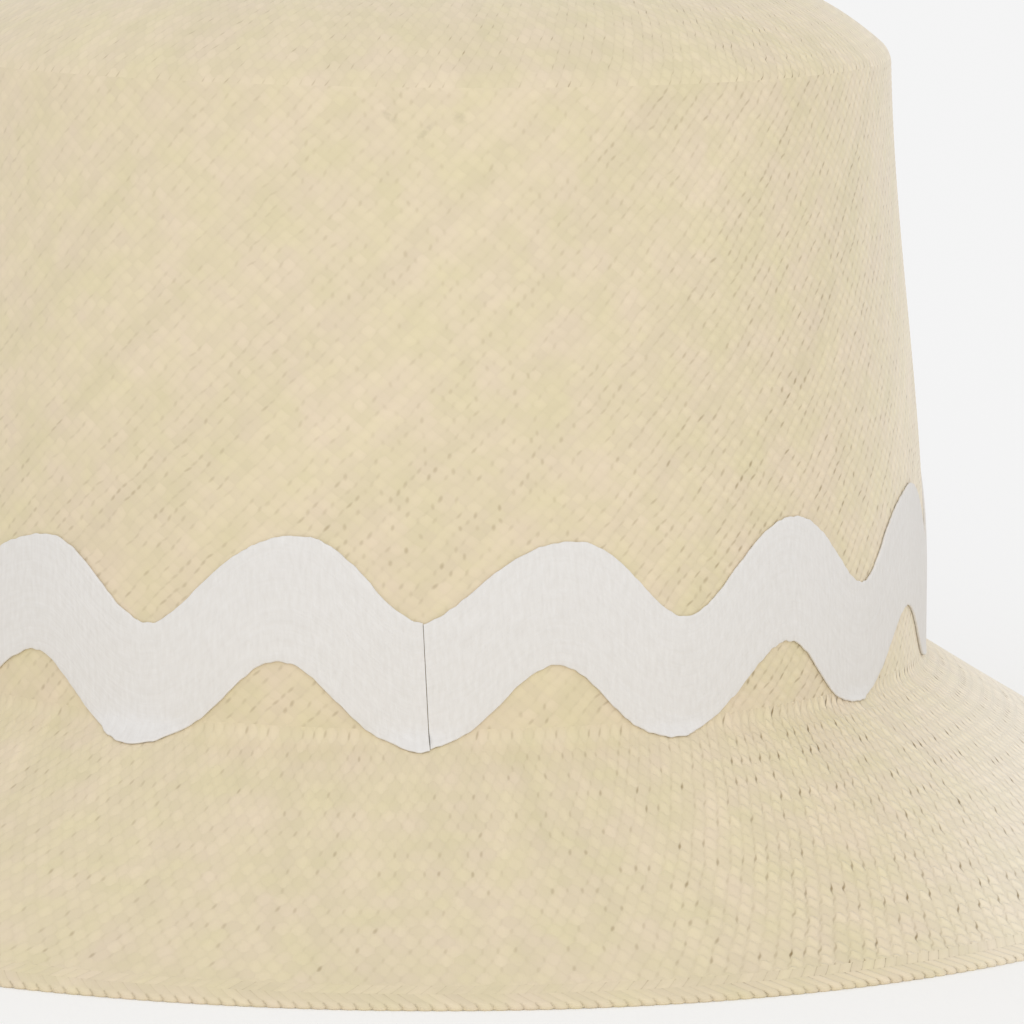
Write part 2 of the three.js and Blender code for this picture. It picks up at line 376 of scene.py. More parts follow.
def brick_weave(tree, cell_mm, row_mm, round_mm, gap_mm, gap_long_mm, gap_lean):
    """Cells laid like bricks with rounded ends: the same lines as brick_relief. A cell's edge is how
    far a point lies outside its core, in parts of the corner's radius. A slit stands where two
    cells of one row meet, strong in every other row, and leans more towards the wearer's right."""
    u, v, _ = add(tree, "SeparateXYZ", {}, wobbled(tree), out="all")
    near = add(tree, "Math", "FLOOR", add(tree, "Math", "ADD", v, 0.5))
    phase = add(tree, "Math", "MULTIPLY_ADD", near, 0.5, u)
    wave = add(tree, "Math", "COSINE", add(tree, "Math", "MULTIPLY", phase, 2 * np.pi))
    away = add(tree, "Math", "ABSOLUTE", add(tree, "Math", "SUBTRACT", v, near))
    bend = add(tree, "Math", "MULTIPLY", wave, add(tree, "Math", "MULTIPLY_ADD", away, -2.0, 1.0))
    bent = add(tree, "Math", "MULTIPLY_ADD", bend, -CELL_BULGE, v)
    row = add(tree, "Math", "FLOOR", bent)
    laid = add(tree, "CombineXYZ", {}, add(tree, "Math", "MULTIPLY_ADD", row, 0.5, u), bent)
    cell = add(tree, "VectorMath", "FLOOR", laid)
    own = add(tree, "VectorMath", "FRACTION", laid)
    knot = add(tree, "VectorMath", "FLOOR", add(tree, "VectorMath", "ADD", laid, (0.5, 0, 0)))
    middle = add(tree, "VectorMath", "SUBTRACT", own, (0.5, 0.5, 0))
    off = add(tree, "VectorMath", "ABSOLUTE", middle)
    sizes = (cell_mm / round_mm, row_mm / round_mm, 0)
    core = (1 - cell_mm / 2 / round_mm, 1 - row_mm / 2 / round_mm, 0)
    past = add(tree, "VectorMath", "MULTIPLY_ADD", off, sizes, core)
    edge = add(tree, "VectorMath", "LENGTH", add(tree, "VectorMath", "MAXIMUM", past, (0, 0, 0)))
    # The seam is painted shade along the edges of each cell.
    seam = ramp(tree, edge, SEAM_FROM, CELL_EDGE)
    height = ramp(tree, edge, CELL_EDGE, 0.0)
    x, _, _ = add(tree, "SeparateXYZ", {}, add(tree, "TexCoord", {}, out="Object"), out="all")
    lean = add(tree, "MapRange", {}, x, -GAP_LEAN_FROM * MM, -GAP_LEAN_TO * MM,
               gap_lean, gap_lean + GAP_LEAN_MORE)
    slit_middle = add(tree, "VectorMath", "ADD", knot, (0, 0.5, 0))
    off_slit = add(tree, "VectorMath", "SUBTRACT", laid, slit_middle)
    beside, beyond, _ = add(tree, "SeparateXYZ", {}, off_slit, out="all")
    beside = add(tree, "Math", "MULTIPLY", beside, cell_mm)
    beyond = add(tree, "Math", "MULTIPLY", beyond, row_mm)
    beside = add(tree, "Math", "MULTIPLY_ADD", beyond, lean, beside)
    reach = add(tree, "VectorMath", "LENGTH", add(
        tree, "VectorMath", "MULTIPLY", add(tree, "CombineXYZ", {}, beside, beyond),
        (1 / gap_mm, 1 / gap_long_mm, 0)))
    slit = ramp(tree, reach, *SLIT_SOFT)
    every_other = add(tree, "Math", "PINGPONG", row, 1.0)
    weak = add(tree, "Math", "MULTIPLY_ADD", every_other, WEAK_ROW, 1.0)
    slit = add(tree, "Math", "MULTIPLY", slit, weak)
    drift = add(tree, "CombineXYZ", {}, u, add(tree, "Math", "MULTIPLY", v, DRIFT_DOWN))
    return slit, seam, height, cell, knot, laid, drift


def straw(name, pattern, *sizes, seam_shade_share, gap_shade_share, right_gap_shade, open_foot, crown_highlight_share, bump_mm):
    """Natural toquilla straw, split flat, boiled and dried, then woven by hand: pale and semi-matt.
    Every cell and strand has its own faint tint and fine fibres run along it. Painted shade darkens
    the gaps and seams between strands, and each cell's crown gets a painted highlight. The gap shade
    is stronger on one side of the hat and towards the foot of the crown. That side also gets painted
    light that makes it paler, and its cells stand out more."""
    material = bpy.data.materials.new(name)
    material.use_nodes = True
    tree = material.node_tree
    tree.nodes.clear()
    slit, seam, height, cell, knot, strand, drift = pattern(tree, *sizes)
    spot = add(tree, "TexCoord", {}, out="Object")
    x, _, z = add(tree, "SeparateXYZ", {}, spot, out="all")
    tint = add(tree, "TexWhiteNoise", {}, cell)
    patch = add(tree, "TexNoise", {}, spot, Scale=PATCH_SCALE, Detail=1.0)
    light = add(tree, "TexWhiteNoise", {}, add(tree, "VectorMath", "ADD", cell, LIGHT_SEED))
    stands = add(tree, "Math", "MULTIPLY_ADD", light, *HEIGHT_BY_CELL)
    height = add(tree, "Math", "MULTIPLY", height, stands)
    cloud = add(tree, "TexNoise", {}, spot, Scale=CLOUD_SCALE, Detail=2.0)
    streak = add(tree, "TexNoise", {}, drift, Scale=STREAK_SCALE, Detail=2.0)
    fibre_place = add(tree, "VectorMath", "MULTIPLY", strand, FIBRE_GRAIN)
    fibre = add(tree, "TexNoise", {}, fibre_place, Scale=1.0, Detail=1.0)

    turn = add(tree, "Math", "MULTIPLY_ADD", patch, *TINT_BY_PATCH)
    turn = add(tree, "Math", "MULTIPLY_ADD", tint, TINT_BY_CELL, turn)
    hue = blend(tree, turn, colour(STRAW_DEEP), colour(STRAW_LIGHT))
    own = blend(tree, TINT_SHARE, colour(STRAW), hue)
    # Painted light: the wearer's right is mixed towards a paler straw, as if more strongly lit.
    painted_light = ramp(tree, x, PAINTED_LIGHT_X[0] * MM, PAINTED_LIGHT_X[1] * MM, 0.0, PAINTED_LIGHT_MOST)
    own = blend(tree, painted_light, own, colour(STRAW_PAINTED_LIGHT))

    side = ramp(tree, x, CRISP_X[0] * MM, CRISP_X[1] * MM)
    crisp = add(tree, "Math", "MULTIPLY_ADD", side, 1 - CRISP_LEAST, CRISP_LEAST)
    # Painted highlight on each cell's crown and painted shade towards its edges, stronger on the
    # wearer's right.
    crown = add(tree, "Math", "MULTIPLY", height, add(tree, "Math", "MULTIPLY", crisp, crown_highlight_share))
    shade = add(tree, "Math", "ADD", add(tree, "Math", "MULTIPLY_ADD", light, *SHADE_BY_CELL), crown)
    # Painted shade along the seams between cells; on the crown's side the seams also carry the
    # splices.
    for share, amount in ((streak, SHADE_BY_STREAK), (cloud, SHADE_BY_CLOUD),
                          (fibre, SHADE_BY_FIBRE), (seam, -seam_shade_share)):
        shade = add(tree, "Math", "MULTIPLY_ADD", share, amount, shade)
    toned = add(tree, "VectorMath", "SCALE", own, Scale=shade)

    # Painted shade in the gaps between strands: stronger on the wearer's right and towards the foot of
    # the crown, and stronger or fainter at random from knot to knot.
    foot = ramp(tree, z, FOOT_Z[0] * MM, FOOT_Z[1] * MM, 0.0, open_foot)
    field = add(tree, "Math", "MULTIPLY_ADD", side, right_gap_shade, foot)
    field = add(tree, "Math", "ADD", field, gap_shade_share)
    closed = add(tree, "Math", "MULTIPLY_ADD", streak, *GAP_BY_STREAK)
    field = add(tree, "Math", "MULTIPLY", field, closed)
    loose = add(tree, "Math", "POWER", add(tree, "TexWhiteNoise", {}, knot), GAP_POWER)
    gap = add(tree, "Math", "MULTIPLY_ADD", loose, *GAP_BY_KNOT)
    gap = add(tree, "Math", "MULTIPLY", add(tree, "Math", "MULTIPLY", gap, field), slit)
    final = blend(tree, gap, toned, colour(GAP_SHADE))
    relief = add(tree, "Math", "MULTIPLY_ADD", fibre, FIBRE_RELIEF, height)
    relief = add(tree, "Math", "MULTIPLY_ADD", gap, GAP_RELIEF, relief)
    bump = add(tree, "Bump", {}, Height=relief, Distance=bump_mm * MM, Strength=crisp)
    surface = add(tree, "BsdfPrincipled", {}, Base_Color=final, Roughness=0.6, Normal=bump,
                  Specular_IOR_Level=0.3, Sheen_Weight=0.3, Sheen_Roughness=0.35)
    add(tree, "OutputMaterial", {}, surface)
    return material


def strand_counts(radii):
    """Cells round the tip at each radius: the full number outside the last ring of added strands,
    and half as many inside each such ring."""
    inside = (radii[:, None] < np.array(STRANDS_ADDED_AT)[None, :]).sum(1)
    return TIP_CELLS / 2.0 ** inside


tip_profile = tip_line()
tip_end = length_of(tip_profile)[-1]
tip_steps = np.arange(TIP_START, tip_end - TIP_LAST_STEP, TIP_ROW / TIP_SAMPLES)
tip_steps = np.append(tip_steps, tip_end)
tip_columns = COLUMNS_PER_CELL * TIP_CELLS
tip_counts = strand_counts(along(tip_profile, tip_steps)[0][:, 0])[:, None]
tip_relief = brick_relief(tip_counts / tip_columns * np.arange(tip_columns)[None, :],
                          tip_steps[:, None] / TIP_ROW, TIP_RELIEF)
tip_relief *= fade(tip_steps + FADE, tip_end + FADE)
tip_rings, tip_run = wall(tip_profile, tip_steps, tip_relief, 0, INNER_ROWS)
tip_cells = strand_counts(along(tip_profile, tip_run)[0][:, 0]) / tip_columns
crown_tip = shell("crown_tip_weave", tip_rings, tip_cells, tip_run / TIP_ROW, len(tip_steps), True)
crown_tip.data.materials.append(straw(
    "toquilla_straw_tip_weave", brick_weave, TIP_CELL, TIP_ROW, TIP_ROUND, TIP_GAP, TIP_GAP_LONG,
    TIP_GAP_LEAN, seam_shade_share=0.01, gap_shade_share=0.25, right_gap_shade=0.35, open_foot=0, crown_highlight_share=0.06,
    bump_mm=0.06))
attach(crown_tip, "root")
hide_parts("straw_body")


# Side of the crown: the same weave, now with all its strands on the slant. One set leans to the
# left and one to the right, and a small leaning slit is left where four strands meet. The side is
# pulled to shape on a wooden block, so it leans in towards the shoulder.
LEAN_IN = 7
LEAN_START = 34
LEAN_END = 130.4
LEAN_STEPS = 73
RING_STEPS = 8
FILLET_STEPS = 24
SIDE_FOOT = 42
BRIM_REACH = 50
BRIM_DROP = 28.5
BRIM_FLARE = 0.7
RIM_LIFT = 0.875
RIM_LIFT_START = 40
FILLET_RADIUS = 3
SIDE_CELLS = 240
SIDE_CELL = 2.42
SIDE_ROW = 2.05
SIDE_SAMPLES = 4
SIDE_LAST_STEP = 0.2
SIDE_LEAN = 0.15
SIDE_RELIEF = 0.08
SLIT_WIDE = 0.33
SLIT_LONG = 0.52
SLIT_STRAY = 0.9
SLIT_STRAY_SEED = (7.5, 3.5, 0)
SLIT_LEAN_X = (8, 28)
SLIT_LEAN_BACK = 0.35
SLIT_LEAN_SIDE = 0.95
STRAND_SEAM = 0.3
SEAM_BREAKS = (1.0, 0.25, 0)
STRAND_POWER = 1.5
SIDE_DRIFT = (0.9, 0.04, 0)
SPLICES = ((9.3, 116.9, 37, 1.5, 0.5), (4.4, 114.8, 137, 2.2, 0.45), (-0.6, 116.9, 20, 1.1, 0.8))
SPLICE_BACK = 94
SPLICE_REACH = 20
SPLICE_DARK = 12
SPLICE_SOFT = (1.3, 0.4)
SPLICE_FRAY_SCALE = 1400.0
SPLICE_FRAY = (0.36, 0.56, 0.3, 1.0)


def brim_height(reach):
    """Height of the brim's outer face at a distance out from the head oval: a straight fall that
    hangs a little in its middle, BRIM_DROP (1 - u) - 4 BRIM_FLARE u (1 - u), and that flattens
    towards the rim by RIM_LIFT times the square of its share of the last stretch."""
    u = reach / BRIM_REACH
    last = np.maximum(reach - RIM_LIFT_START, 0) / (BRIM_REACH - RIM_LIFT_START)
    return BRIM_DROP * (1 - u) - 4 * BRIM_FLARE * u * (1 - u) + RIM_LIFT * last ** 2


def fillet_line():
    """The small round between side and brim: an arc square to both, FILLET_RADIUS in radius."""
    turn = np.pi / 2 - np.arctan((BRIM_DROP + 4 * BRIM_FLARE) / BRIM_REACH)
    top = brim_height(0) + FILLET_RADIUS * np.tan(turn / 2)
    angle = np.linspace(0, turn, FILLET_STEPS)
    return np.stack([CROWN_HALF_WIDTH + FILLET_RADIUS * (1 - np.cos(angle)),
                     top - FILLET_RADIUS * np.sin(angle)], 1)


def side_line():
    """The outer profile of the crown's side: the rest of the shoulder's round, a lean of
    LEAN_IN (1 - cos pi t) / 2 with t running from 0 at LEAN_START to 1 at LEAN_END, and a straight
    foot to the start of the brim's round."""
    angle = np.linspace(np.radians(RING_TURN_DEG), 0, RING_STEPS)[:-1]
    centre = np.array([SHOULDER_HALF_WIDTH - SHOULDER_RADIUS, SHOULDER_HEIGHT])
    arc = centre + SHOULDER_RADIUS * np.stack([np.cos(angle), np.sin(angle)], 1)
    height = np.linspace(SHOULDER_HEIGHT, SIDE_FOOT, LEAN_STEPS)
    lean = LEAN_IN * (1 - np.cos(np.pi * (height - LEAN_START) / (LEAN_END - LEAN_START))) / 2
    side = np.stack([CROWN_HALF_WIDTH - lean, height], 1)
    return np.concatenate([arc, side, fillet_line()[:1]])


def crossing_relief(u, v, depth):
    """Height of strands that cross on the slant: 1 - (cos^2 pi m + cos^2 pi n) / 2 of a depth,
    where m = u + v and n = u - v count the strands of the two sets, and slits lie a depth down."""
    m, n = u + v, u - v
    return -depth * 0.5 * (np.cos(np.pi * m) ** 2 + np.cos(np.pi * n) ** 2)


def splices(tree, spot):
    """Where one straw ends and the next is laid in beside it, a small frayed spot shows darker. Each
    spot is an ellipse charted near the middle of the back: x, z, the turn of its long axis
    from x in degrees, and half its length and width, in mm. Noise frays it."""
    fray = add(tree, "TexNoise", {}, spot, Scale=SPLICE_FRAY_SCALE, Detail=2.0)
    marks = 0.0
    for x, z, turn_deg, half_length, half_width in SPLICES:
        sine, cosine = np.sin(np.radians(turn_deg)), np.cos(np.radians(turn_deg))
        off = add(tree, "VectorMath", "SUBTRACT", spot, (x * MM, SPLICE_BACK * MM, z * MM))
        off = add(tree, "VectorMath", "SCALE", off, Scale=1 / MM)
        lengthways = add(tree, "VectorMath", "DOT_PRODUCT", off,
                         (cosine / half_length, 0, sine / half_length))
        widthways = add(tree, "VectorMath", "DOT_PRODUCT", off,
                        (-sine / half_width, 0, cosine / half_width))
        deep = add(tree, "VectorMath", "DOT_PRODUCT", off, (0, 1 / SPLICE_REACH, 0))
        away = add(tree, "VectorMath", "LENGTH", add(
            tree, "CombineXYZ", {}, lengthways, widthways, deep))
        marks = add(tree, "Math", "MAXIMUM", ramp(tree, away, *SPLICE_SOFT), marks)
    frayed = add(tree, "MapRange", {}, fray, *SPLICE_FRAY)
    return add(tree, "Math", "MULTIPLY", marks, frayed)


def crossing_weave(tree, cell_mm, row_mm, gap_mm, gap_long_mm):
    """Strands that cross on the slant: m = u + v and n = u - v count the two sets, whose strands
    lie on top by turns. The slit at each whole m and n is an ellipse that leans, little at the
    middle of the back and front and more towards the sides, and strays at random by SLIT_STRAY.
    The seams carry painted shade, and the splices, which are darker marks of the straw, are added to
    them."""
    weave = wobbled(tree)
    spot = add(tree, "TexCoord", {}, out="Object")
    m = add(tree, "VectorMath", "DOT_PRODUCT", weave, (1, 1, 0))
    n = add(tree, "VectorMath", "DOT_PRODUCT", weave, (1, -1, 0))
    laid = add(tree, "CombineXYZ", {}, m, n)
    swapped = add(tree, "CombineXYZ", {}, n, m)
    cell = add(tree, "VectorMath", "FLOOR", laid)
    total = add(tree, "VectorMath", "DOT_PRODUCT", cell, (1, 1, 0))
    under = add(tree, "Math", "PINGPONG", total, 1.0)
    strand = add(tree, "Mix", {"data_type": "VECTOR"}, under, laid, swapped)
    own = add(tree, "VectorMath", "FRACTION", strand)
    knot = add(tree, "VectorMath", "FLOOR", add(tree, "VectorMath", "ADD", laid, (0.5, 0.5, 0)))
    off = add(tree, "VectorMath", "SUBTRACT", laid, knot)
    x, _, _ = add(tree, "SeparateXYZ", {}, spot, out="all")
    lean = ramp(tree, add(tree, "Math", "ABSOLUTE", x), SLIT_LEAN_X[0] * MM, SLIT_LEAN_X[1] * MM,
                SLIT_LEAN_BACK, SLIT_LEAN_SIDE)
    stray = add(tree, "TexWhiteNoise", {}, add(tree, "VectorMath", "ADD", knot, SLIT_STRAY_SEED))
    lean = add(tree, "Math", "ADD", lean, add(
        tree, "Math", "MULTIPLY_ADD", stray, SLIT_STRAY, -SLIT_STRAY / 2))
    beside = add(tree, "VectorMath", "DOT_PRODUCT", off, (cell_mm / 2, cell_mm / 2, 0))
    beyond = add(tree, "VectorMath", "DOT_PRODUCT", off, (row_mm / 2, -row_mm / 2, 0))
    beside = add(tree, "Math", "MULTIPLY_ADD", beyond, lean, beside)
    ellipse = add(tree, "VectorMath", "MULTIPLY", add(tree, "CombineXYZ", {}, beside, beyond),
                  (1 / gap_mm, 1 / gap_long_mm, 0))
    slit = ramp(tree, add(tree, "VectorMath", "LENGTH", ellipse), *SLIT_SOFT)
    from_edge, _, _ = add(tree, "SeparateXYZ", {}, add(tree, "VectorMath", "ABSOLUTE", off), out="all")
    # Painted shade along the lines where strands meet, broken up by noise.
    seam = ramp(tree, from_edge, STRAND_SEAM, 0.0)
    broken = add(tree, "TexNoise", {}, add(tree, "VectorMath", "MULTIPLY", laid, SEAM_BREAKS),
                 Scale=1.0, Detail=1.0)
    seam = add(tree, "Math", "MULTIPLY", seam, broken)
    seam = add(tree, "Math", "MULTIPLY_ADD", splices(tree, spot), SPLICE_DARK, seam)
    centred = add(tree, "VectorMath", "MULTIPLY_ADD", own, (2, 2, 0), (-1, -1, 0))
    square = add(tree, "VectorMath", "MULTIPLY", centred, centred)
    left = add(tree, "VectorMath", "MULTIPLY_ADD", square, (-1, -1, 0), (1, 1, 0))
    sx, sy, _ = add(tree, "SeparateXYZ", {}, left, out="all")
    height = add(tree, "Math", "POWER", add(tree, "Math", "MULTIPLY", sx, sy), STRAND_POWER)
    drift = add(tree, "VectorMath", "MULTIPLY", laid, SIDE_DRIFT)
    return slit, seam, height, cell, knot, strand, drift


side_profile = side_line()
side_end = length_of(side_profile)[-1]
side_steps = np.arange(0, side_end - SIDE_LAST_STEP, SIDE_ROW / SIDE_SAMPLES)
side_steps = np.append(side_steps, side_end)
side_columns = COLUMNS_PER_CELL * SIDE_CELLS
side_relief = crossing_relief(np.arange(side_columns)[None, :] / COLUMNS_PER_CELL,
                              side_steps[:, None] / SIDE_ROW, SIDE_RELIEF)
side_relief *= fade(side_steps, side_end)
side_rings, side_run = wall(side_profile, side_steps, side_relief, SIDE_LEAN, INNER_ROWS)
crown_side = shell("crown_side_weave", side_rings, np.full(len(side_run), 1 / COLUMNS_PER_CELL),
                   side_run / SIDE_ROW, len(side_steps))
crown_side.data.materials.append(straw(
    "toquilla_straw_side_weave", crossing_weave, SIDE_CELL, SIDE_ROW, SLIT_WIDE, SLIT_LONG,
    seam_shade_share=0.01, gap_shade_share=0.1, right_gap_shade=0.18, open_foot=0.1, crown_highlight_share=0.05,
    bump_mm=0.08))
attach(crown_side, "root")
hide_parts("straw_body")


# Brim: the weave goes on without a seam. Its strands run out from the crown and show by turns as
# upright cells with rounded ends, laid like bricks. It slopes down to the rim.
BRIM_CELLS = 350
BRIM_SAMPLES = 4
BRIM_LAST_STEP = 0.4
BRIM_CELL = 2.1
BRIM_ROW = 2.05
BRIM_RELIEF = 0.1
BRIM_ROUND = 0.8
BRIM_GAP = 0.27
BRIM_GAP_LONG = 1.1
BRIM_GAP_LEAN = 0.1
RIM_START = 45.5
BRIM_INNER_ROWS = 9
SLOPE_STEPS = 60


def brim_line(end):
    """The outer profile of the brim: the small round at its foot, then its slope out to a reach."""
    fillet = fillet_line()
    reach = np.linspace(fillet[-1, 0] - CROWN_HALF_WIDTH, end, SLOPE_STEPS)[1:]
    slope = np.stack([CROWN_HALF_WIDTH + reach, brim_height(reach)], 1)
    return np.concatenate([fillet, slope])


brim_profile = brim_line(RIM_START)
brim_end = length_of(brim_profile)[-1]
brim_steps = np.arange(0, brim_end - BRIM_LAST_STEP, BRIM_ROW / BRIM_SAMPLES)
brim_steps = np.append(brim_steps, brim_end)
brim_columns = COLUMNS_PER_CELL * BRIM_CELLS
brim_relief = brick_relief(np.arange(brim_columns)[None, :] / COLUMNS_PER_CELL,
                           brim_steps[:, None] / BRIM_ROW, BRIM_RELIEF)
brim_relief *= fade(brim_steps, brim_end)
brim_rings, brim_run = wall(brim_profile, brim_steps, brim_relief, 0, BRIM_INNER_ROWS)
brim = shell("brim_weave", brim_rings, np.full(len(brim_run), 1 / COLUMNS_PER_CELL),
             brim_run / BRIM_ROW, len(brim_steps))
brim.data.materials.append(straw(
    "toquilla_straw_brim_weave", brick_weave, BRIM_CELL, BRIM_ROW, BRIM_ROUND, BRIM_GAP,
    BRIM_GAP_LONG, BRIM_GAP_LEAN, seam_shade_share=0.01, gap_shade_share=0.22, right_gap_shade=0.44, open_foot=0,
    crown_highlight_share=0.07, bump_mm=0.14))
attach(brim, "root")
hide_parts("straw_body")


# Rim: the strands are turned back and plaited along the brim's edge, which leaves two rows of leaf
# shaped crossings that slant opposite ways, and a finely scalloped edge. The hat rests on its flat
# underside.
RIM_LEAVES = 448
LEAF_SAMPLES = 8
LEAF_PITCH = 2.0
LEAF_SLANT = 0.8
LEAF_RELIEF = 0.14
PLAIT_MIDDLE = 2.0
PLAIT_WIDTH = 5.2
LEAF_WIDENS = 0.25
LEAF_EDGE = (0.8, 1.05)
SCALLOP = 0.45
SCALLOP_REACH = 0.5
RIM_REACH = 134.0
RIM_SECTION = ((133.2, 1.15), (133.62, 1.02), (133.9, 0.78), (134.0, 0.5), (133.97, 0.18),
               (133.8, 0.0), (132.6, 0.0), (131.4, 0.0), (130.1, 0.65), (128.9, 1.22))
RIM_TOP_STEPS = 14


def rim_rings(columns):
    """Rings of the rim's section: its sloping top, its round edge, its flat underside and back up.
    The plait has two rows whose leaves slant opposite ways, half a leaf apart. They stand proud by
    (1 - x^2)(1 - y^4), x across a leaf and y across its row, and the edge draws in between two."""
    reach = np.linspace(RIM_START, RIM_SECTION[0][0] - CROWN_HALF_WIDTH, RIM_TOP_STEPS)[:-1]
    top = np.stack([CROWN_HALF_WIDTH + reach, brim_height(reach)], 1)
    section = np.concatenate([top, np.array(RIM_SECTION)])
    run = length_of(section)
    outer = PLAIT_WIDTH - PLAIT_MIDDLE
    away = np.minimum(np.abs(run - PLAIT_MIDDLE), outer)[:, None]
    leaf = np.arange(columns)[None, :] / LEAF_SAMPLES + 0.5 * (run < PLAIT_MIDDLE)[:, None]
    x = 2 * np.mod(leaf - LEAF_SLANT * away / LEAF_PITCH, 1) - 1
    row = np.minimum(run / PLAIT_MIDDLE, 1 + (run - PLAIT_MIDDLE) / outer)
    y = 2 * np.mod(row, 1)[:, None] - 1
    pillow = (1 - x ** 2) * (1 - y ** 4)
    fading = np.minimum(run, PLAIT_WIDTH + FADE - run) / FADE
    raised = LEAF_RELIEF * (pillow - 0.5) * np.clip(fading, 0, 1)[:, None]
    rings = section[:, None, :] + raised[..., None] * along(section, run)[1][:, None, :]
    edge = np.exp(-((section[:, 0] - RIM_REACH) / SCALLOP_REACH) ** 2)[:, None]
    rings[..., 0] -= SCALLOP * edge * np.abs(x) ** 3
    rings[..., 1] = np.maximum(rings[..., 1], 0)
    return oval(rings[..., 0], rings[..., 1], columns_round(columns, np.zeros(len(run)))), run


def plait(tree, leaf_mm, slant, middle_mm, outer_mm):
    """Two rows of leaves that slant opposite ways: u less the slant times the distance from the
    plait's middle line counts them, half a leaf on in the inner row. The gap between two leaves is
    a thin line that widens towards both ends of the leaf."""
    u, v, _ = add(tree, "SeparateXYZ", {}, add(tree, "UVMap", {"uv_map": "weave"}), out="all")
    past = add(tree, "Math", "SUBTRACT", v, middle_mm)
    away = add(tree, "Math", "MINIMUM", add(tree, "Math", "ABSOLUTE", past), outer_mm)
    x = add(tree, "Math", "MULTIPLY_ADD", add(tree, "Math", "LESS_THAN", past, 0.0), 0.5, u)
    x = add(tree, "Math", "MULTIPLY_ADD", away, -slant / leaf_mm, x)
    row = add(tree, "Math", "MINIMUM", add(tree, "Math", "MULTIPLY", v, 1 / middle_mm),
              add(tree, "Math", "MULTIPLY_ADD", past, 1 / outer_mm, 1.0))
    laid = add(tree, "CombineXYZ", {}, x, row)
    cell = add(tree, "VectorMath", "FLOOR", laid)
    own = add(tree, "VectorMath", "FRACTION", laid)
    centred = add(tree, "VectorMath", "MULTIPLY_ADD", own, (2, 2, 0), (-1, -1, 0))
    square = add(tree, "VectorMath", "MULTIPLY", centred, centred)
    sx, sy, _ = add(tree, "SeparateXYZ", {}, square, out="all")
    wide = add(tree, "Math", "MULTIPLY_ADD", add(tree, "Math", "POWER", sy, 2.0), LEAF_WIDENS, sx)
    slit = ramp(tree, wide, *LEAF_EDGE)
    height = add(tree, "Math", "SUBTRACT", 1.0, wide)
    # The leaf gaps serve as both the gap's and the seam's painted shade.
    return slit, slit, height, cell, cell, laid, laid


rim_points, rim_run = rim_rings(RIM_LEAVES * LEAF_SAMPLES)
rim = shell("rim_plait", rim_points, np.full(len(rim_run), 1 / LEAF_SAMPLES), rim_run, 0)
rim.data.materials.append(straw(
    "toquilla_straw_plaited_rim", plait, LEAF_PITCH, LEAF_SLANT, PLAIT_MIDDLE,
    PLAIT_WIDTH - PLAIT_MIDDLE, seam_shade_share=0.03, gap_shade_share=0.15, right_gap_shade=0.2, open_foot=0,
    crown_highlight_share=0.05, bump_mm=0.06))
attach(rim, "root")
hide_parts("straw_body")


# Trim: off-white cotton rickrack, a flat braid that is woven with a wavy outline. It is tacked
# round the foot of the crown over the weave, and its two cut ends meet behind in a leaning joint.
BAND_HEIGHT = 42
BAND_WAVES = 14
BAND_SWING_START = 5.6
BAND_SWING_END = 6
BAND_RISE = 0.6
BAND_HALF_STRIP = 9.15
BAND_WAIST = 0.6
BAND_SKEW = 1.0
BAND_THICKNESS = 0.42
BAND_CLEARANCE = 0.03
BAND_TILT = 0.0138
LOOSE_LOOPS = 0.11
LOOPS_SEED = 5
JOINT_OFFSET = -4
JOINT_GAP = 0.1
JOINT_LEAN = 1.1
JOINT_LEAD = 1.9
JOINT_SPREAD = 0.9
JOINT_SPREAD_REACH = 7
BAND_STATIONS = 1401
BAND_EDGE_ROUND = 0.2
BAND_FACE_STEPS = 18
BAND_EDGE_STEPS = 4
BAND_BACK_STEPS = 7
TURNS_START = -68.5
TURNS_STEP = 10.45
TURNS_REACH = 6
TURNS_TOP = (-1.7, -1.6, -1.0, 0.3, 0.4, 0.9, -0.5, 0.2, 0.2,
             0.4, -0.4, 0.0, 0.5, 0.2, -0.1, 1.2, 0.0)
TURNS_FOOT = (-1.5, -1.7, -0.9, -1.0, -0.3, -0.5, 0.3, -1.0, -0.2,
              -0.9, -0.5, 0.2, -0.5, -1.2, -0.4, 0.1, -1.0)
WAVE_LAG_AT = (0, 81.5, 102, 115, 200)
WAVE_LAG = (0, 0, 2.7, 2.7, 0)
FACE_FLAT_SHARE = 0.9
END_FLAT_AT = (0.25, 0.05)
END_FLAT_STEP = (0.5, 0)
END_FLAT_RADIUS = 0.02
RICKRACK = "#e9e7e5"
RICKRACK_SHADE = "#d7d3ce"
THREAD_GRAIN = (1.6, 0.45, 0)
LINE_GRAIN = (0.12, 1.6, 0)
SOFT_SCALE = 60.0
TONE_BY_THREAD = (0.75, -0.2)
TONE_BY_LINE = 0.25
TONE_BY_PATCH = 0.25
LINE_RELIEF = 0.8
BRAID_BUMP = 0.07


def band_section():
    """The braid's section as (share of the half strip, offset from it, distance off the straw):
    down its face, round its lower edge, back up behind, and round its upper edge."""
    near, far = BAND_CLEARANCE, BAND_CLEARANCE + BAND_THICKNESS
    face = np.linspace(1, -1, BAND_FACE_STEPS)
    behind = np.linspace(-1, 1, BAND_BACK_STEPS)
    sweep = np.linspace(0, np.pi, 2 * BAND_EDGE_STEPS + 1)[1:-1]
    outward = BAND_EDGE_ROUND * (np.sin(sweep) - 1)
    depth = (near + far) / 2 + (far - near) / 2 * np.cos(sweep)
    share = np.concatenate([face, -np.ones(len(sweep)), behind, np.ones(len(sweep))])
    offset = np.concatenate([-BAND_EDGE_ROUND * face, -outward, -BAND_EDGE_ROUND * behind, outward])
    away = np.concatenate([far + 0 * face, depth, near + 0 * behind, depth[::-1]])
    return share[:, None], offset[:, None], away[:, None]


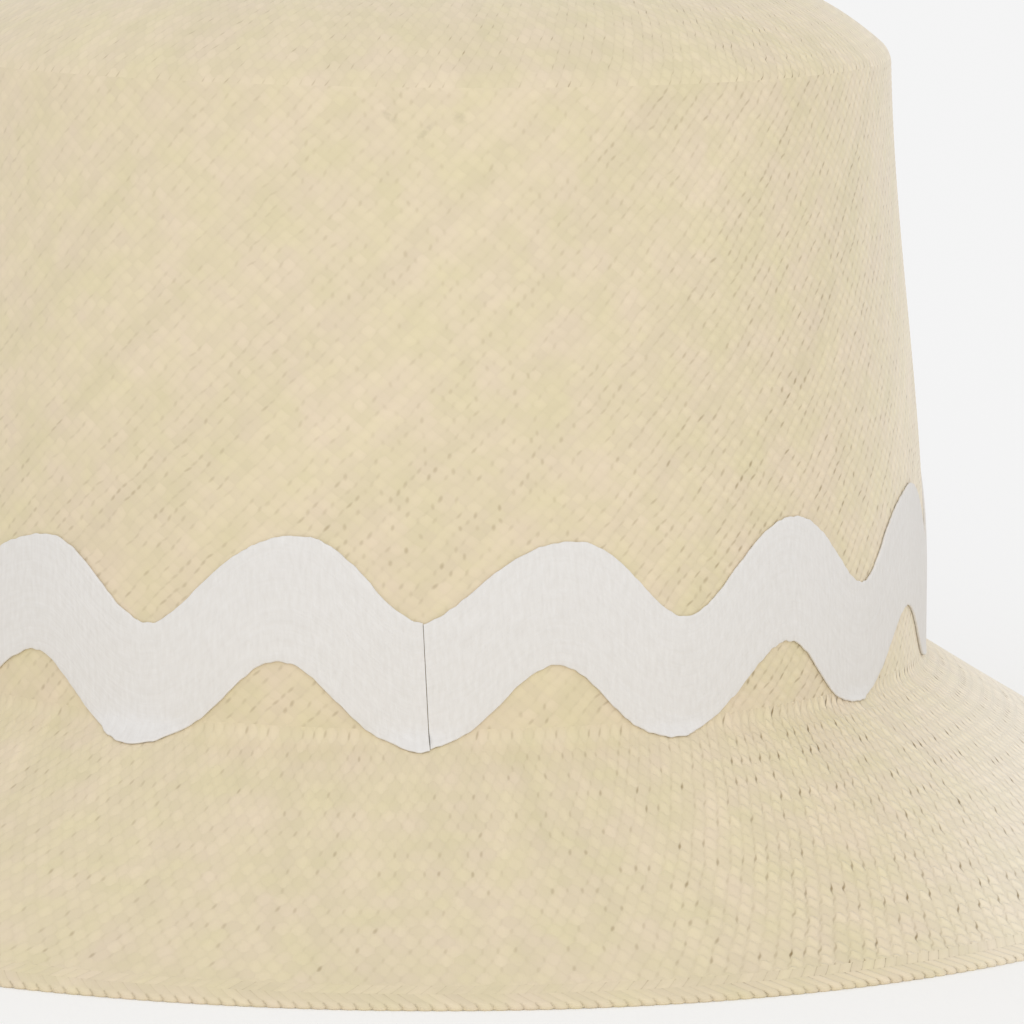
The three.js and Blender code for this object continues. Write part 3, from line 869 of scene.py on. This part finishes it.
def unevenness(arc, chart):
    """How far a hand-laid edge strays in height at a distance round the back. The chart has one
    offset in mm for each turn of the wave and each half way, read off. They are weighed by
    exp(-(distance / TURNS_REACH)^2), and the edge is even far from the chart."""
    spots = TURNS_START + TURNS_STEP * np.arange(len(chart))
    weight = np.exp(-((arc[..., None] - spots) / TURNS_REACH) ** 2)
    return (weight * np.array(chart)).sum(-1) / np.maximum(weight.sum(-1), 1)


def band_points():
    """The braid carried round the crown: its middle is a wave of height -swing cos(phase). Its half
    strip is BAND_HALF_STRIP - BAND_WAIST cos(2 phase) - BAND_SKEW sin(phase), so it is wider on one
    flank of each wave than on the other, and it spreads at the joint. At the distances WAVE_LAG_AT
    the upper edge comes later than the lower one by WAVE_LAG. Both edges stray by unevenness and
    are ragged by their thread loops (seeded offsets, evened out over three stations), and each
    point stands off the straw's outer face."""
    share, offset, away = band_section()
    run = np.linspace(JOINT_GAP / 2, HEAD_ROUND - JOINT_GAP / 2, BAND_STATIONS)
    done = run / HEAD_ROUND
    lag = np.interp(run, WAVE_LAG_AT, WAVE_LAG) * (share + 1) / 2
    phase = 2 * np.pi * (run - lag + JOINT_LEAD) * BAND_WAVES / (HEAD_ROUND + JOINT_LEAD)
    to_joint = np.minimum(run, HEAD_ROUND - run)
    half = BAND_HALF_STRIP - BAND_WAIST * np.cos(2 * phase) - BAND_SKEW * np.sin(phase)
    half = half + JOINT_SPREAD * np.exp(-(to_joint / JOINT_SPREAD_REACH) ** 2)
    across = share * half + offset
    arc = JOINT_OFFSET + run - JOINT_LEAN * across / (2 * half)
    arc = (arc + HEAD_ROUND / 2) % HEAD_ROUND - HEAD_ROUND / 2
    angle = np.interp(arc, ROUND_LENGTHS, ROUND_ANGLES)
    swing = BAND_SWING_START + (BAND_SWING_END - BAND_SWING_START) * done
    middle = BAND_HEIGHT + BAND_RISE * done - swing * np.cos(phase)
    height = middle + across + BAND_TILT * CROWN_HALF_WIDTH * np.sin(angle)
    rise = (across / half + 1) / 2
    height += rise * unevenness(arc, TURNS_TOP) + (1 - rise) * unevenness(arc, TURNS_FOOT)
    loops = np.random.default_rng(LOOPS_SEED).normal(0, LOOSE_LOOPS, (2, BAND_STATIONS))
    loops = (loops + (np.roll(loops, 1, 1) + np.roll(loops, -1, 1)) / 2) / 2
    height += rise * loops[0] + (1 - rise) * loops[1]
    face = np.concatenate([side_profile, brim_profile[1:]])[::-1]
    outward = along(face[::-1], length_of(face[::-1]))[1][::-1]
    r = np.interp(height, face[:, 1], face[:, 0])
    r += away * np.interp(height, face[:, 1], outward[:, 0])
    lift = away * np.interp(height, face[:, 1], outward[:, 1])
    return oval(r, height + lift, angle), run, across


def band_piece(name):
    """The braid's closed body: a grid of quads round the section and along the stations, and a
    face over each cut end. Its map counts mm along the braid and across it."""
    points, run, across = band_points()
    count, stations = points.shape[:2]
    i, j = np.meshgrid(np.arange(count), np.arange(stations - 1), indexing="ij")
    after = (i + 1) % count
    quads = np.stack([i * stations + j, after * stations + j, after * stations + j + 1,
                      i * stations + j + 1], -1).reshape(-1, 4)
    weave = np.stack([
        np.stack([run[j], run[j], run[j + 1], run[j + 1]], -1),
        np.stack([across[i, j], across[after, j], across[after, j + 1], across[i, j + 1]], -1)], -1)
    flat = np.stack([np.stack([j, j, j + 1, j + 1], -1) / (stations - 1),
                     1 - FACE_FLAT_SHARE * np.stack([i, i + 1, i + 1, i], -1) / count], -1)
    ring = np.arange(count) * stations
    ends = [ring[::-1][None, :], (ring + stations - 1)[None, :]]
    end_weave = [np.stack([np.full(count, run[0]), across[::-1, 0]], -1),
                 np.stack([np.full(count, run[-1]), across[:, -1]], -1)]
    turn = np.linspace(0, 2 * np.pi, count, endpoint=False)
    circle = END_FLAT_AT + END_FLAT_RADIUS * np.stack([np.cos(turn), np.sin(turn)], -1)
    end_flat = [circle[None], circle[None] + END_FLAT_STEP]
    return mesh_of(name, points.reshape(-1, 3), [quads] + ends, [weave] + end_weave,
                   [flat] + end_flat, [ring, ring + stations - 1])


def woven_cotton(name):
    """Bleached cotton, woven as a braid: matt, off-white, with short ticks where threads stand
    upright and soft lines along the wave. The ticks are drawn 0.6 mm apart, twice the real size."""
    material = bpy.data.materials.new(name)
    material.use_nodes = True
    tree = material.node_tree
    tree.nodes.clear()
    weave = add(tree, "UVMap", {"uv_map": "weave"})
    spot = add(tree, "TexCoord", {}, out="Object")
    threads = add(tree, "TexNoise", {}, add(tree, "VectorMath", "MULTIPLY", weave, THREAD_GRAIN),
                  Scale=1.0, Detail=2.0)
    lines = add(tree, "TexNoise", {}, add(tree, "VectorMath", "MULTIPLY", weave, LINE_GRAIN),
                Scale=1.0, Detail=1.0)
    soft = add(tree, "TexNoise", {}, spot, Scale=SOFT_SCALE, Detail=2.0)
    tone = add(tree, "Math", "MULTIPLY_ADD", threads, *TONE_BY_THREAD)
    tone = add(tree, "Math", "MULTIPLY_ADD", lines, TONE_BY_LINE, tone)
    tone = add(tree, "Math", "MULTIPLY_ADD", soft, TONE_BY_PATCH, tone)
    base = blend(tree, tone, colour(RICKRACK), colour(RICKRACK_SHADE))
    height = add(tree, "Math", "MULTIPLY_ADD", lines, LINE_RELIEF, threads)
    bump = add(tree, "Bump", {}, Height=height, Distance=BRAID_BUMP * MM, Strength=1.0)
    surface = add(tree, "BsdfPrincipled", {}, Base_Color=base, Roughness=0.9, Normal=bump,
                  Specular_IOR_Level=0.2)
    add(tree, "OutputMaterial", {}, surface)
    return material


band = band_piece("rickrack_trim")
band.data.materials.append(woven_cotton("bleached_cotton_rickrack"))
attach(band, "root")
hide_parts("rickrack_band")


# Floor and light: a plain pale floor that fills the view, an even white studio sky, and one very
# broad soft lamp from the upper right, so that the straw shows its relief without hard shadows.
FLOOR_SIZE = 12.0
FLOOR = "#fbfbfb"
SKY_STRENGTH = 0.87
LAMP_TURN = (0.05, 1.0, 0.42)
LAMP_BREADTH_DEG = 50
LAMP_STRENGTH = 0.6

floor_mesh = bpy.data.meshes.new("studio_floor")
corners = FLOOR_SIZE / 2 * np.array([(-1, -1, 0), (1, -1, 0), (1, 1, 0), (-1, 1, 0)])
floor_mesh.from_pydata(corners.tolist(), [], [(0, 1, 2, 3)])
floor = bpy.data.objects.new("studio_floor", floor_mesh)
bpy.context.scene.collection.objects.link(floor)
floor_paint = bpy.data.materials.new("matt_white_floor_paint")
floor_paint.use_nodes = True
floor_paint.node_tree.nodes.clear()
painted = add(floor_paint.node_tree, "BsdfDiffuse", {}, Color=colour(FLOOR))
add(floor_paint.node_tree, "OutputMaterial", {}, painted)
floor_mesh.materials.append(floor_paint)

world = bpy.data.worlds.new("studio_sky")
world.use_nodes = True
world.node_tree.nodes["Background"].inputs["Color"].default_value = (1, 1, 1, 1)
world.node_tree.nodes["Background"].inputs["Strength"].default_value = SKY_STRENGTH
bpy.context.scene.world = world
lamp_data = bpy.data.lights.new("broad_lamp", "SUN")
lamp_data.energy = LAMP_STRENGTH
lamp_data.angle = np.radians(LAMP_BREADTH_DEG)
lamp = bpy.data.objects.new("broad_lamp", lamp_data)
lamp.rotation_euler = Vector(LAMP_TURN).to_track_quat("Z", "Y").to_euler()
bpy.context.scene.collection.objects.link(lamp)
bpy.context.scene.view_settings.view_transform = "Standard"
